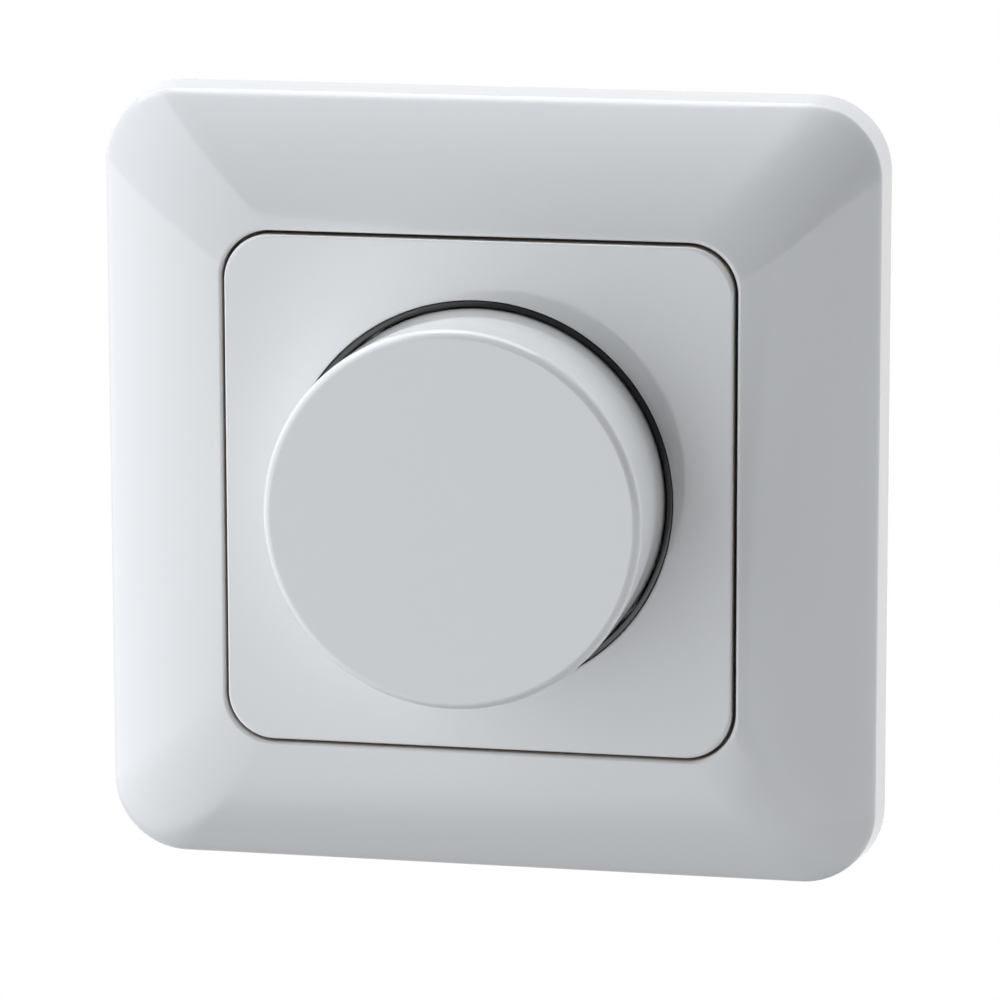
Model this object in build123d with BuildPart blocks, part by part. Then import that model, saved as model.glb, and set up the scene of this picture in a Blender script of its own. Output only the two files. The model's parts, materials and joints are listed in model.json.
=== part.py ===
from build123d import *
from math import asin, atan2, cos, hypot, radians, sin, sqrt
import os

# A flush-mounted rotary dimmer: turned to dim, pushed to switch. Millimetres.
# The wall is the plane Y = 0, +Z is up and the viewer stands at -Y.
# A height is the distance from the wall towards the viewer; what is in the wall box is negative.

# Clearances
plate_gap = 0.4
ring_fit = 0.05
knob_gap = 0.2
shaft_fit = 0.05
thread_fit = 0.02
hole_play = 0.15
moving_gap = 0.3
touch_gap = 0.05
layout_gap = 1.2

# Cover frame
frame_width = 85.0
frame_corner = 8.0
frame_lean = 0.4
rim_height = 5.0
frame_front = 11.0
crown_slope = 8.0
crown_section_count = 5
cavity_section_count = 3
frame_wall = 2.0
rim_edge = 0.6
opening_edge = 0.3
collar_wall = 1.6
ledge_thickness = 1.5
frame_rib = 1.2
frame_rib_place = 14.0

# Centre plate with its well
plate_width = 55.0
plate_corner = 5.0
plate_proud = 0.2
plate_thickness = 2.0
plate_edge = 0.2
skirt_wall = 1.5
skirt_depth = 1.7
well_wall = 1.5
web_thickness = 1.5
plate_rib = 1.2

# Trim ring
ring_width = 0.7
ring_height = 1.2
ring_recess = 0.25
ring_seat = 0.4

# Knob
knob_diameter = 40.4
knob_projection = 13.5
knob_edge = 1.35
knob_wall = 1.8
knob_top = 2.0
hub_diameter = 10.0
hub_rib = 1.2
hub_rib_count = 6
bore_end_wall = 1.3
push_travel = 1.5
turn_each_way = 135.0

# Spring leaf in the knob's hub
leaf_thickness = 0.4
leaf_width = 3.6
leaf_length = 8.0

# Steel support plate
support_width = 71.0
support_corner = 6.0
support_thickness = 1.2
flange_length = 40.0
flange_height = 2.0
box_screw_spacing = 60.0
slot_length = 7.0
slot_width = 3.6

# Bush, nuts and washer
bush_diameter = 10.0
bush_flange_diameter = 14.0
bush_flange_thickness = 1.5
nut_flats = 14.0
bush_nut_height = 2.0
plate_nut_height = 2.0
web_room = 0.8
washer_diameter = 17.0
washer_thickness = 0.8
bush_over_nut = 0.5

# Shaft and its retaining ring
shaft_diameter = 6.0
shaft_flat = 1.5
shaft_end_chamfer = 0.5
tail_diameter = 5.0
tail_flats = 3.6
ring_clip_diameter = 8.6
ring_clip_thickness = 0.6
groove_depth = 0.6
groove_shoulder = 0.6

# Potentiometer
pot_width = 17.0
pot_wall = 1.2
rotor_diameter = 10.6
rotor_thickness = 3.0
stop_half_angle = 20.0
stop_spare_angle = 0.5
wiper_thickness = 0.3
wiper_reach = 0.5
wiper_width = 3.0
wiper_tip_width = 0.8
track_thickness = 0.2
track_width = 1.6
track_arc = 280.0
track_board_thickness = 1.2
pin_width = 0.8
pin_thickness = 0.4
pin_pitch = 5.0

# Push switch
switch_wall = 1.3
stem_diameter = 5.4
stem_entry = 0.7
plunger_room = 0.7
plunger_depth = 8.0
plunger_thickness = 1.2
guide_post_diameter = 2.4
guide_post_length = 1.8
bridge_thickness = 0.4
bridge_depth = 6.4
contact_height = 2.0
contact_width = 2.0
contact_inset = 0.8
spring_diameter = 4.0
spring_wire = 0.5
spring_turns = 3.0

# Power stage
heat_sink_thickness = 2.0
thermal_pad_thickness = 0.3
transistor_width = 10.0
transistor_tab_length = 15.5
transistor_tab_thickness = 1.3
transistor_body_length = 9.2
transistor_body_thickness = 4.4
transistor_low_end = -5.7
transistor_hole_from_end = 2.9
transistor_leg_run = 2.5
lead_pitch = 2.54
small_screw_diameter = 3.0
small_head_diameter = 5.2
small_head_height = 1.6

# Circuit board and what stands on it
board_thickness = 1.6
lead_width = 0.8
lead_thickness = 0.5
film_width = 6.8
film_length = 8.6
film_height = 9.5
bulk_diameter = 6.8
bulk_height = 10.0
choke_diameter = 9.6
choke_bore = 5.0
choke_height = 4.6
winding_thickness = 0.6
winding_arc = 300.0
fuse_diameter = 8.4
fuse_height = 7.5
varistor_diameter = 8.4
varistor_thickness = 3.8
varistor_stand = 0.6
chip_width = 5.0
chip_length = 4.0
chip_height = 1.4
chip_place = -3.0
chip_pin_count = 4
chip_pin_pitch = 1.27
chip_pin_reach = 1.0
trimmer_width = 4.6
trimmer_height = 3.4
trimmer_rotor_diameter = 3.6
trimmer_rotor_height = 0.8
trimmer_pocket_depth = 1.6
trimmer_slot = 0.7
trimmer_window = 4.6

# Terminals
pole_count = 3
pole_pitch = 7.0
block_wall = 1.55
block_depth = 11.5
wire_bore_diameter = 3.0
wire_bore_length = 3.5
wire_funnel = 0.4
cage_width = 5.2
cage_height = 5.6
cage_depth = 5.6
cage_wall = 0.8
cage_fit = 0.1
tongue_width = 1.5
tongue_thickness = 0.5
tongue_overlap = 1.2
terminal_screw_diameter = 3.0
terminal_head_diameter = 4.0
terminal_head_height = 1.4
terminal_screw_slot = 0.6

# Rear housing
housing_width = 50.0
housing_chamfer = 9.7
housing_depth = 24.0
housing_wall = 1.6
housing_corner = 2.0
housing_edge = 1.0
boss_diameter = 5.6
boss_pilot_length = 9.0
boss_shift = 1.5
boss_room = 0.2
housing_screw_diameter = 2.6
housing_head_diameter = 4.8
housing_head_height = 1.5
post_diameter = 3.0

# Heights in front of the wall, worked out from the sizes above
plate_front = frame_front + plate_proud
plate_back = plate_front - plate_thickness
skirt_bottom = plate_back - skirt_depth
ledge_bottom = skirt_bottom - ledge_thickness
web_bottom = support_thickness + bush_nut_height + web_room
web_top = web_bottom + web_thickness
nut_bottom = web_top + washer_thickness
bush_end = nut_bottom + plate_nut_height + bush_over_nut
ring_bottom = plate_front - ring_recess - ring_height
knob_front = plate_front + knob_projection
knob_inner_top = knob_front - knob_top
knob_bottom = web_top + 2 * push_travel
hub_bottom = bush_end + push_travel + moving_gap
hub_rib_bottom = hub_bottom + push_travel
bore_end = knob_inner_top - bore_end_wall
shaft_end = bore_end - moving_gap
flat_start = hub_bottom - moving_gap

# Heights behind the wall
pot_front = -bush_flange_thickness
ring_clip_back = pot_front - touch_gap - ring_clip_thickness
shaft_shoulder = ring_clip_back - groove_shoulder
rotor_front = shaft_shoulder - push_travel - moving_gap
rotor_back = rotor_front - rotor_thickness
wiper_back = rotor_back - wiper_thickness
track_front = wiper_back - wiper_reach - touch_gap
pot_back = track_front - track_thickness
switch_front = pot_back - track_board_thickness
tail_end = switch_front - stem_entry
plunger_front = switch_front - switch_wall - moving_gap
plunger_back = plunger_front - plunger_thickness
bridge_back = plunger_back - bridge_thickness
contact_front = bridge_back - push_travel - touch_gap
board_front = contact_front - contact_height
board_back = board_front - board_thickness
housing_floor = housing_wall - housing_depth

# Radii and half widths
knob_radius = knob_diameter / 2
ring_inner = knob_radius + knob_gap
ring_outer = ring_inner + ring_width
seat_radius = ring_outer + ring_fit
well_radius = seat_radius - ring_seat
cup_radius = well_radius + well_wall
bush_hole = bush_diameter / 2 + hole_play
bush_bore = shaft_diameter / 2 + shaft_fit
pot_half = pot_width / 2
switch_cavity = pot_width - 2 * switch_wall
plunger_width = switch_cavity - 2 * plunger_room
contact_reach = (plunger_width - contact_width) / 2 - contact_inset
pot_cavity = pot_half - pot_wall
housing_half = housing_width / 2
housing_inner = housing_half - housing_wall
inner_chamfer = housing_chamfer - housing_wall * (2 - sqrt(2))

# Places on the circuit board, as (x, z)
row_z = (pot_half + housing_inner) / 2
winding_radius = choke_diameter / 2 + winding_thickness
row_gap = winding_radius + moving_gap
choke_at = (0, row_z)
film_at = (-row_gap - film_width / 2, row_z)
bulk_at = (row_gap + bulk_diameter / 2, row_z)
tab_high_end = transistor_low_end + transistor_tab_length
trimmer_at = (
    row_gap + bulk_diameter + moving_gap + trimmer_width / 2,
    tab_high_end + moving_gap + trimmer_width / 2,
)
transistor_x = pot_half + layout_gap + transistor_width / 2
fuse_at = (-pot_half - layout_gap - fuse_diameter / 2, 0)
varistor_at = (pot_half + layout_gap + varistor_thickness / 2, 0)
block_bottom = -housing_inner
block_top = block_bottom + cage_height + 2 * (block_wall + cage_fit)
board_low = block_top + moving_gap
board_half = housing_inner - moving_gap
leg_bend = transistor_low_end - transistor_leg_run
pin_z = -pot_half - pin_thickness / 2

varistor_leads = [(varistor_at[0], side * varistor_diameter / 4) for side in (-1, 1)]
pot_leads = [(pin * pin_pitch, pin_z) for pin in (-1, 0, 1)]
contact_places = [(-contact_reach, 0), (contact_reach, 0)]
transistor_leads = [
    (side * transistor_x + leg * lead_pitch, leg_bend)
    for side in (-1, 1)
    for leg in (-1, 0, 1)
]
pole_places = [(pole - (pole_count - 1) / 2) * pole_pitch for pole in range(pole_count)]
chamfer_sum = 2 * housing_inner - inner_chamfer
boss_middle = chamfer_sum / 2 - (boss_diameter / 2 + boss_room) / sqrt(2)
boss_x = boss_middle + boss_shift
boss_z = boss_middle - boss_shift
boss_places = [(-boss_x, boss_z), (boss_x, -boss_z)]

# Terminal heights and levels
block_back = -housing_depth
block_front = block_back + block_depth
cage_back = block_back + wire_bore_length + cage_fit
cage_front = cage_back + cage_depth
cage_low = block_bottom + block_wall + cage_fit
cage_high = cage_low + cage_height
screw_height = (cage_back + cage_front) / 2
wire_z = cage_high - cage_wall - wire_bore_diameter / 2 - hole_play

# The crown's arc: from the rim to the opening, with a given slope at the opening
rim_half = frame_width / 2 - frame_lean
opening_half = plate_width / 2 + plate_gap
opening_corner = plate_corner + plate_gap
crown_rise = frame_front - rim_height
crown_run = rim_half - opening_half
crown_start = radians(crown_slope)
crown_half_turn = atan2(crown_rise, crown_run) - crown_start
crown_radius = hypot(crown_rise, crown_run) / (2 * sin(crown_half_turn))
crown_axis_x = opening_half - crown_radius * sin(crown_start)
crown_axis_h = frame_front - crown_radius * cos(crown_start)

half_section = Plane(origin=(0, 0, 0), x_dir=(1, 0, 0), z_dir=(0, 0, -1))


def at(height):
    return Plane.XZ.offset(height)


def side_plane(x):
    return Plane(origin=(x, 0, 0), x_dir=(0, 0, 1), z_dir=(1, 0, 0))


def corner_at(half, inset):
    share = (half + inset - opening_half) / (rim_half - opening_half)
    return opening_corner + share * (frame_corner - opening_corner) - inset


def crown_sketches(radius, low_half, high_half, inset, count):
    first = asin((low_half - crown_axis_x) / radius)
    last = asin((high_half - crown_axis_x) / radius)
    sections = []
    for step in range(count):
        turn = first + (last - first) * step / (count - 1)
        half = crown_axis_x + radius * sin(turn)
        with BuildSketch(at(crown_axis_h + radius * cos(turn))) as section:
            RectangleRounded(2 * half, 2 * half, corner_at(half, inset))
        sections.append(section.sketch)
    return sections


def rounded_square(height, half, corner):
    with BuildSketch(at(height)) as outline:
        RectangleRounded(2 * half, 2 * half, corner)
    return outline.sketch


def case_outline(height, inset):
    with BuildSketch(at(height)) as outline:
        Rectangle(housing_width - 2 * inset, housing_width - 2 * inset)
        chamfer(outline.vertices(), housing_chamfer - inset * (2 - sqrt(2)))
    return outline.sketch


os.makedirs("parts", exist_ok=True)

# Cover frame: leaning side band, convex crown, collar round the opening and a ledge for the plate
cavity_radius = crown_radius - frame_wall
cavity_half = rim_half - frame_wall
collar_half = opening_half + collar_wall
cavity_low = crown_axis_h + sqrt(cavity_radius**2 - (cavity_half - crown_axis_x) ** 2)
cavity_high = crown_axis_h + sqrt(cavity_radius**2 - (collar_half - crown_axis_x) ** 2)
ledge_half = plate_width / 2 - skirt_wall
cavity_corner = corner_at(cavity_half, frame_wall)

with BuildPart() as frame_cavity:
    extrude(rounded_square(0, cavity_half, cavity_corner), amount=cavity_low)
    loft(
        crown_sketches(cavity_radius, cavity_half, collar_half, frame_wall, cavity_section_count),
        ruled=True,
    )

rib_radius = crown_radius - frame_wall / 2
rib_inner = collar_half - collar_wall / 2
rib_outer = rim_half - frame_wall / 2
rib_middle = (rib_inner + rib_outer) / 2
with BuildPart() as frame_side_ribs:
    for side in (-1, 1):
        with BuildSketch(side_plane(side * frame_rib_place)):
            with BuildLine():
                tops = []
                for reach in (rib_inner, rib_middle, rib_outer):
                    rise = sqrt(rib_radius**2 - (reach - crown_axis_x) ** 2)
                    tops.append((reach, crown_axis_h + rise))
                foot = (rib_outer, tops[2][1] - frame_wall)
                ThreePointArc(*tops)
                Polyline(tops[2], foot, (rib_inner, ledge_bottom), tops[0])
            make_face()
        extrude(amount=frame_rib / 2, both=True)

with BuildPart() as cover_frame:
    wall_outline = rounded_square(0, frame_width / 2, frame_corner)
    rim_outline = rounded_square(rim_height, rim_half, frame_corner)
    loft([wall_outline, rim_outline], ruled=True)
    loft(crown_sketches(crown_radius, rim_half, opening_half, 0, crown_section_count))
    fillet(cover_frame.edges().filter_by_position(Axis.Y, -rim_height, -rim_height), rim_edge)
    add(frame_cavity.part, mode=Mode.SUBTRACT)
    collar_outline = rounded_square(ledge_bottom, collar_half, opening_corner + collar_wall)
    extrude(collar_outline, amount=cavity_high - ledge_bottom)
    opening_outline = rounded_square(skirt_bottom, opening_half, opening_corner)
    extrude(opening_outline, amount=frame_front - skirt_bottom, mode=Mode.SUBTRACT)
    ledge_corner = max(plate_corner - skirt_wall, opening_edge)
    ledge_outline = rounded_square(ledge_bottom, ledge_half, ledge_corner)
    extrude(ledge_outline, amount=ledge_thickness, mode=Mode.SUBTRACT)
    fillet(
        cover_frame.edges()
        .filter_by_position(Axis.Y, -frame_front, -frame_front + touch_gap),
        opening_edge,
    )
    for quarter in range(4):
        add(frame_side_ribs.part.rotate(Axis.Y, 90 * quarter))
cover_frame.part.label = "cover_frame"
export_step(cover_frame.part, "parts/cover_frame.step")

# Centre plate: slab with a skirt that stands on the frame's ledge, and a cup for the knob
skirt_corner = max(plate_corner - skirt_wall, plate_edge)
corner_reach = ledge_half * sqrt(2) - skirt_corner * (sqrt(2) - 1)
plate_rib_length = corner_reach - cup_radius + skirt_wall
with BuildPart() as centre_plate:
    extrude(rounded_square(plate_back, plate_width / 2, plate_corner), amount=plate_thickness)
    with BuildSketch(at(skirt_bottom)):
        RectangleRounded(plate_width, plate_width, plate_corner)
        RectangleRounded(2 * ledge_half, 2 * ledge_half, skirt_corner, mode=Mode.SUBTRACT)
    extrude(amount=skirt_depth)
    with BuildSketch(at(skirt_bottom)):
        with PolarLocations((cup_radius + corner_reach) / 2, 4, start_angle=45):
            Rectangle(plate_rib_length, plate_rib)
    extrude(amount=skirt_depth)
    with BuildSketch(at(web_bottom)):
        Circle(cup_radius)
    extrude(amount=plate_back - web_bottom)
    with BuildSketch(at(web_top)):
        Circle(well_radius)
    extrude(amount=plate_front - web_top, mode=Mode.SUBTRACT)
    with BuildSketch(at(ring_bottom)):
        Circle(seat_radius)
    extrude(amount=plate_front - ring_bottom, mode=Mode.SUBTRACT)
    with BuildSketch(at(web_bottom)):
        Circle(bush_hole)
    extrude(amount=web_thickness, mode=Mode.SUBTRACT)
    front_face = centre_plate.faces().sort_by(Axis.Y)[0]
    fillet(front_face.outer_wire().edges(), plate_edge)
centre_plate.part.label = "centre_plate"
export_step(centre_plate.part, "parts/centre_plate.step")

# Trim ring, seated on the shoulder in the plate
with BuildPart() as trim_ring:
    with BuildSketch(at(ring_bottom)):
        Circle(ring_outer)
        Circle(ring_inner, mode=Mode.SUBTRACT)
    extrude(amount=ring_height)
trim_ring.part.label = "trim_ring"
export_step(trim_ring.part, "parts/trim_ring.step")

# Knob: thin cup with a ribbed hub and a D-shaped bore
hub_radius = hub_diameter / 2
hub_rib_length = knob_radius - knob_wall / 2 - hub_radius
leaf_plane = shaft_flat + shaft_fit
with BuildPart() as knob:
    with BuildSketch(half_section):
        with BuildLine():
            inner_foot = (knob_radius - knob_wall, knob_bottom)
            inner_crest = (knob_radius - knob_wall, knob_inner_top)
            Polyline(
                inner_foot, (knob_radius, knob_bottom), (knob_radius, knob_front),
                (0, knob_front), (0, knob_inner_top), inner_crest, close=True,
            )
        make_face()
    revolve(axis=Axis.Y)
    fillet(knob.faces().sort_by(Axis.Y)[0].edges(), knob_edge)
    with BuildSketch(at(hub_bottom)):
        Circle(hub_radius)
    extrude(amount=knob_inner_top - hub_bottom)
    with BuildSketch(at(hub_rib_bottom)):
        with PolarLocations(hub_radius + hub_rib_length / 2, hub_rib_count, start_angle=90):
            Rectangle(hub_rib_length + knob_wall / 2, hub_rib)
    extrude(amount=knob_inner_top - hub_rib_bottom)
    with BuildSketch(at(hub_bottom)):
        Circle(bush_bore)
        with Locations((leaf_plane, 0)):
            Rectangle(
                bush_bore, 2 * bush_bore, align=(Align.MIN, Align.CENTER), mode=Mode.SUBTRACT
            )
    extrude(amount=bore_end - hub_bottom, mode=Mode.SUBTRACT)
    with BuildSketch(at(hub_bottom)):
        with Locations((leaf_plane, 0)):
            Rectangle(
                leaf_thickness + touch_gap, leaf_width + 2 * touch_gap,
                align=(Align.MIN, Align.CENTER),
            )
    extrude(amount=leaf_length + moving_gap, mode=Mode.SUBTRACT)
knob.part.label = "knob"
export_step(knob.part, "parts/knob.step")

# Spring leaf between the hub and the shaft's flat
with BuildPart() as knob_clip:
    with BuildSketch(at(hub_bottom + moving_gap)):
        with Locations((leaf_plane, 0)):
            Rectangle(leaf_thickness, leaf_width, align=(Align.MIN, Align.CENTER))
    extrude(amount=leaf_length - moving_gap)
    fillet(knob_clip.edges().filter_by(Axis.X), leaf_width / 4)
knob_clip.part.label = "knob_clip"
export_step(knob_clip.part, "parts/knob_clip.step")

# Washer and nut that clamp the centre plate
with BuildPart() as nut_washer:
    with BuildSketch(at(web_top)):
        Circle(washer_diameter / 2)
        Circle(bush_hole, mode=Mode.SUBTRACT)
    extrude(amount=washer_thickness)
nut_washer.part.label = "nut_washer"
export_step(nut_washer.part, "parts/nut_washer.step")


def hex_nut(height):
    with BuildSketch(at(height)) as outline:
        RegularPolygon(nut_flats / 2, 6, major_radius=False)
        Circle(bush_diameter / 2 + thread_fit, mode=Mode.SUBTRACT)
    return outline.sketch


with BuildPart() as plate_nut:
    extrude(hex_nut(nut_bottom), amount=plate_nut_height)
plate_nut.part.label = "plate_nut"
export_step(plate_nut.part, "parts/plate_nut.step")

with BuildPart() as bush_nut:
    extrude(hex_nut(support_thickness), amount=bush_nut_height)
bush_nut.part.label = "bush_nut"
export_step(bush_nut.part, "parts/bush_nut.step")

# Support plate: slots for two or four box screws, folded edges above and below
slot_reach = box_screw_spacing / 2
with BuildPart() as support_plate:
    with BuildSketch(at(0)):
        RectangleRounded(support_width, support_width, support_corner)
        Circle(bush_hole, mode=Mode.SUBTRACT)
        with Locations((-slot_reach, 0), (slot_reach, 0)):
            SlotOverall(slot_length, slot_width, mode=Mode.SUBTRACT)
        with Locations((0, -slot_reach), (0, slot_reach)):
            SlotOverall(slot_length, slot_width, rotation=90, mode=Mode.SUBTRACT)
        with Locations(boss_places):
            Circle(housing_screw_diameter / 2 + hole_play, mode=Mode.SUBTRACT)
        with Locations(trimmer_at):
            Circle(trimmer_window / 2, mode=Mode.SUBTRACT)
    extrude(amount=support_thickness)
    with BuildSketch(at(support_thickness)):
        with GridLocations(0, support_width - support_thickness, 1, 2):
            Rectangle(flange_length, support_thickness)
    extrude(amount=flange_height)
support_plate.part.label = "support_plate"
export_step(support_plate.part, "parts/support_plate.step")

# Threaded bush, with a flange behind the support plate
with BuildPart() as threaded_bush:
    with BuildSketch(at(0)):
        Circle(bush_flange_diameter / 2)
    extrude(amount=-bush_flange_thickness)
    with BuildSketch(at(0)):
        Circle(bush_diameter / 2)
    extrude(amount=bush_end)
    with BuildSketch(at(pot_front)):
        Circle(bush_bore)
    extrude(amount=bush_end - pot_front, mode=Mode.SUBTRACT)
threaded_bush.part.label = "threaded_bush"
export_step(threaded_bush.part, "parts/threaded_bush.step")

# Shaft: D-shaped end for the knob, groove for its ring, flat-sided tail through the rotor
shaft_radius = shaft_diameter / 2
groove_radius = shaft_radius - groove_depth
with BuildPart() as shaft:
    with BuildSketch(at(shaft_shoulder)):
        Circle(shaft_radius)
    extrude(amount=shaft_end - shaft_shoulder)
    tip = shaft.edges().filter_by_position(Axis.Y, -shaft_end, -shaft_end)
    chamfer(tip, shaft_end_chamfer)
    with BuildSketch(at(flat_start)):
        with Locations((shaft_flat, 0)):
            Rectangle(shaft_radius, shaft_diameter, align=(Align.MIN, Align.CENTER))
    extrude(amount=shaft_end - flat_start, mode=Mode.SUBTRACT)
    with BuildSketch(at(ring_clip_back)):
        Circle(shaft_diameter)
        Circle(groove_radius, mode=Mode.SUBTRACT)
    extrude(amount=ring_clip_thickness, mode=Mode.SUBTRACT)
    with BuildSketch(at(tail_end)):
        Circle(tail_diameter / 2)
        Rectangle(tail_flats, tail_diameter, mode=Mode.INTERSECT)
    extrude(amount=shaft_shoulder - tail_end)
shaft.part.label = "shaft"
export_step(shaft.part, "parts/shaft.step")

# Retaining ring in the shaft's groove, open on one side
with BuildPart() as shaft_clip:
    with BuildSketch(at(ring_clip_back)):
        Circle(ring_clip_diameter / 2)
        Circle(groove_radius + thread_fit, mode=Mode.SUBTRACT)
        Rectangle(
            ring_clip_diameter, 2 * groove_radius - groove_depth,
            align=(Align.MIN, Align.CENTER), mode=Mode.SUBTRACT,
        )
    extrude(amount=ring_clip_thickness)
shaft_clip.part.label = "shaft_clip"
export_step(shaft_clip.part, "parts/shaft_clip.step")

# Potentiometer housing: square outside, round inside, with a stop tooth at the bottom
rotor_radius = rotor_diameter / 2
stop_radius = rotor_radius + moving_gap
lug_radius = pot_cavity - moving_gap
lug_half_angle = 180 - turn_each_way - stop_half_angle - stop_spare_angle


def sector(middle_angle, half_angle, inner, outer):
    with BuildSketch(Plane.XY) as wedge:
        with BuildLine():
            first = middle_angle - half_angle
            outer_arc = CenterArc((0, 0), outer, first, 2 * half_angle)
            inner_arc = CenterArc((0, 0), inner, first, 2 * half_angle)
            Line(outer_arc @ 0, inner_arc @ 0)
            Line(outer_arc @ 1, inner_arc @ 1)
        make_face()
    return wedge.sketch


with BuildPart() as pot_housing:
    with BuildSketch(at(pot_front)):
        Rectangle(pot_width, pot_width)
    extrude(amount=pot_back - pot_front)
    with BuildSketch(at(pot_back)):
        Circle(pot_cavity)
        add(sector(-90, stop_half_angle, stop_radius, pot_cavity + pot_wall), mode=Mode.SUBTRACT)
    extrude(amount=pot_front - pot_wall - pot_back, mode=Mode.SUBTRACT)
    with BuildSketch(at(pot_front)):
        Circle(ring_clip_diameter / 2 + moving_gap)
    extrude(amount=-pot_wall, mode=Mode.SUBTRACT)
    fillet(pot_housing.edges().filter_by(Axis.Y).group_by(SortBy.DISTANCE)[-1], pot_wall / 2)
pot_housing.part.label = "pot_housing"
export_step(pot_housing.part, "parts/pot_housing.step")

# Rotor: driven by the shaft's flats, with a lug that meets the stop tooth at each end of the turn
with BuildPart() as pot_rotor:
    with BuildSketch(at(rotor_back)):
        Circle(rotor_radius)
        add(sector(90, lug_half_angle, rotor_radius / 2, lug_radius))
    extrude(amount=rotor_thickness)
    with BuildSketch(at(rotor_back)):
        Circle(tail_diameter / 2 + shaft_fit)
        Rectangle(tail_flats + 2 * shaft_fit, tail_diameter * 2, mode=Mode.INTERSECT)
    extrude(amount=rotor_thickness, mode=Mode.SUBTRACT)
pot_rotor.part.label = "pot_rotor"
export_step(pot_rotor.part, "parts/pot_rotor.step")

# Wiper: sprung strip on the rotor, with a tip on the track
wiper_tip_reach = rotor_radius - wiper_tip_width
wiper_foot = tail_diameter / 2 + moving_gap
with BuildPart() as wiper:
    with BuildSketch(at(wiper_back)):
        with Locations((0, wiper_foot)):
            Rectangle(wiper_width, rotor_radius - wiper_foot, align=(Align.CENTER, Align.MIN))
    extrude(amount=wiper_thickness)
    with BuildSketch(at(wiper_back)):
        with Locations((0, wiper_tip_reach)):
            Rectangle(wiper_width, wiper_tip_width)
    extrude(amount=-wiper_reach)
wiper.part.label = "wiper"
export_step(wiper.part, "parts/wiper.step")

# Track board closes the potentiometer, with the horseshoe of the resistor on it
with BuildPart() as track_board:
    with BuildSketch(at(pot_back)):
        Rectangle(pot_width, pot_width)
        Circle(tail_diameter / 2 + moving_gap, mode=Mode.SUBTRACT)
    extrude(amount=-track_board_thickness)
track_board.part.label = "track_board"
export_step(track_board.part, "parts/track_board.step")

track_inner = wiper_tip_reach - track_width / 2
with BuildPart() as resistor_track:
    with BuildSketch(at(pot_back)):
        add(sector(90, track_arc / 2, track_inner, track_inner + track_width))
    extrude(amount=track_thickness)
resistor_track.part.label = "resistor_track"
export_step(resistor_track.part, "parts/resistor_track.step")

with BuildPart() as pot_pins:
    with BuildSketch(at(pot_back)):
        with Locations(pot_leads):
            Rectangle(pin_width, pin_thickness)
    extrude(amount=board_front - pot_back)
pot_pins.part.label = "pot_pins"
export_step(pot_pins.part, "parts/pot_pins.step")

# Push switch: box, plunger, spring, bridge and two fixed contacts
with BuildPart() as switch_housing:
    with BuildSketch(at(board_front)):
        Rectangle(pot_width, pot_width)
    extrude(amount=switch_front - board_front)
    with BuildSketch(at(board_front)):
        Rectangle(switch_cavity, switch_cavity)
    extrude(amount=switch_front - switch_wall - board_front, mode=Mode.SUBTRACT)
    with BuildSketch(at(switch_front)):
        Circle(stem_diameter / 2 + moving_gap)
    extrude(amount=-switch_wall, mode=Mode.SUBTRACT)
switch_housing.part.label = "switch_housing"
export_step(switch_housing.part, "parts/switch_housing.step")

with BuildPart() as switch_plunger:
    with BuildSketch(at(plunger_back)):
        Rectangle(plunger_width, plunger_depth)
    extrude(amount=plunger_thickness)
    with BuildSketch(at(plunger_front)):
        Circle(stem_diameter / 2)
    extrude(amount=tail_end - touch_gap - plunger_front)
    with BuildSketch(at(plunger_back)):
        Circle(guide_post_diameter / 2)
    extrude(amount=-guide_post_length)
switch_plunger.part.label = "switch_plunger"
export_step(switch_plunger.part, "parts/switch_plunger.step")

spring_length = plunger_back - board_front - spring_wire - 2 * touch_gap
spring_foot = plunger_back - spring_wire / 2 - touch_gap
with BuildPart() as switch_spring:
    with BuildLine():
        coil = Helix(
            pitch=spring_length / spring_turns,
            height=spring_length,
            radius=spring_diameter / 2,
            center=(0, -spring_foot, 0),
            direction=(0, 1, 0),
        )
    with BuildSketch(Plane(origin=coil @ 0, x_dir=(0, 1, 0), z_dir=coil % 0)):
        Rectangle(spring_wire, spring_wire)
    sweep(is_frenet=True)
switch_spring.part.label = "switch_spring"
export_step(switch_spring.part, "parts/switch_spring.step")

with BuildPart() as contact_bridge:
    with BuildSketch(at(bridge_back)):
        Rectangle(plunger_width, bridge_depth)
        Circle((spring_diameter + spring_wire) / 2 + moving_gap, mode=Mode.SUBTRACT)
    extrude(amount=bridge_thickness)
contact_bridge.part.label = "contact_bridge"
export_step(contact_bridge.part, "parts/contact_bridge.step")

with BuildPart() as fixed_contacts:
    with BuildSketch(at(board_front)):
        with Locations(contact_places):
            Rectangle(contact_width, contact_width)
    extrude(amount=contact_height)
fixed_contacts.part.label = "fixed_contacts"
export_step(fixed_contacts.part, "parts/fixed_contacts.step")

# Heat sink behind the support plate, with a window for the potentiometer
transistor_hole_z = tab_high_end - transistor_hole_from_end
transistor_holes = [(side * transistor_x, transistor_hole_z) for side in (-1, 1)]
with BuildPart() as heat_sink:
    extrude(case_outline(0, housing_wall + moving_gap), amount=-heat_sink_thickness)
    with BuildSketch(at(0)):
        Rectangle(pot_width + 2 * moving_gap, pot_width + 2 * moving_gap)
        with Locations(boss_places):
            Circle(housing_screw_diameter / 2 + hole_play)
        with Locations(trimmer_at):
            Circle(trimmer_window / 2)
        with Locations(transistor_holes):
            Circle(small_screw_diameter / 2 + thread_fit)
    extrude(amount=-heat_sink_thickness, mode=Mode.SUBTRACT)
heat_sink.part.label = "heat_sink"
export_step(heat_sink.part, "parts/heat_sink.step")

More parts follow.
